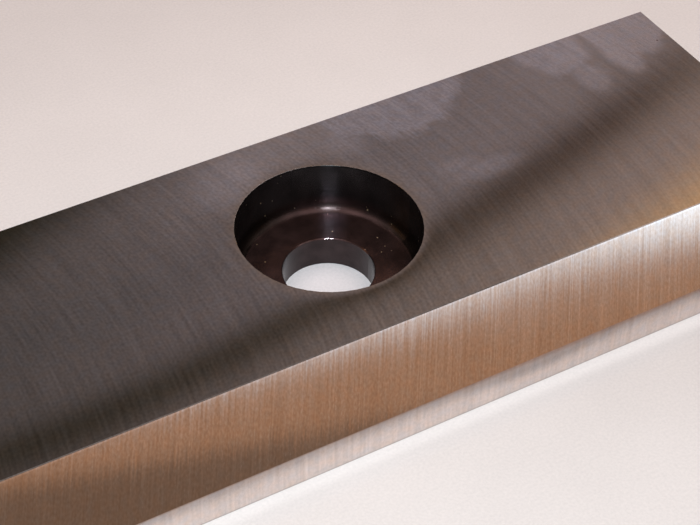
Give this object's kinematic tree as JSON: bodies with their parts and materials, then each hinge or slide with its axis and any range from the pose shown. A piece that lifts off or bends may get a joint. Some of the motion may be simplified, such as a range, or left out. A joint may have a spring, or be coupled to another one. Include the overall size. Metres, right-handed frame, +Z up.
{
  "type": "counter knife",
  "caption": "Ground steel bar knife for a cutting machine, with a bevelled front, a narrow land down to its cutting edge and counterbored bolt holes.",
  "frame": {"origin": "middle of the underside, which is the face that rests on the knife seat", "axes": "+X along the knife, +Y towards its square back, -Y towards the bevel and the cutting edge, +Z up out of the head recesses"},
  "size_m": [0.42, 0.076, 0.02],
  "materials": {
    "ground_steel": "surface-ground bare steel, grinding lines across the bar, turned recesses"
  },
  "bodies": {
    "root": {"counter_knife": "ground_steel"}
  },
  "joints": []
}
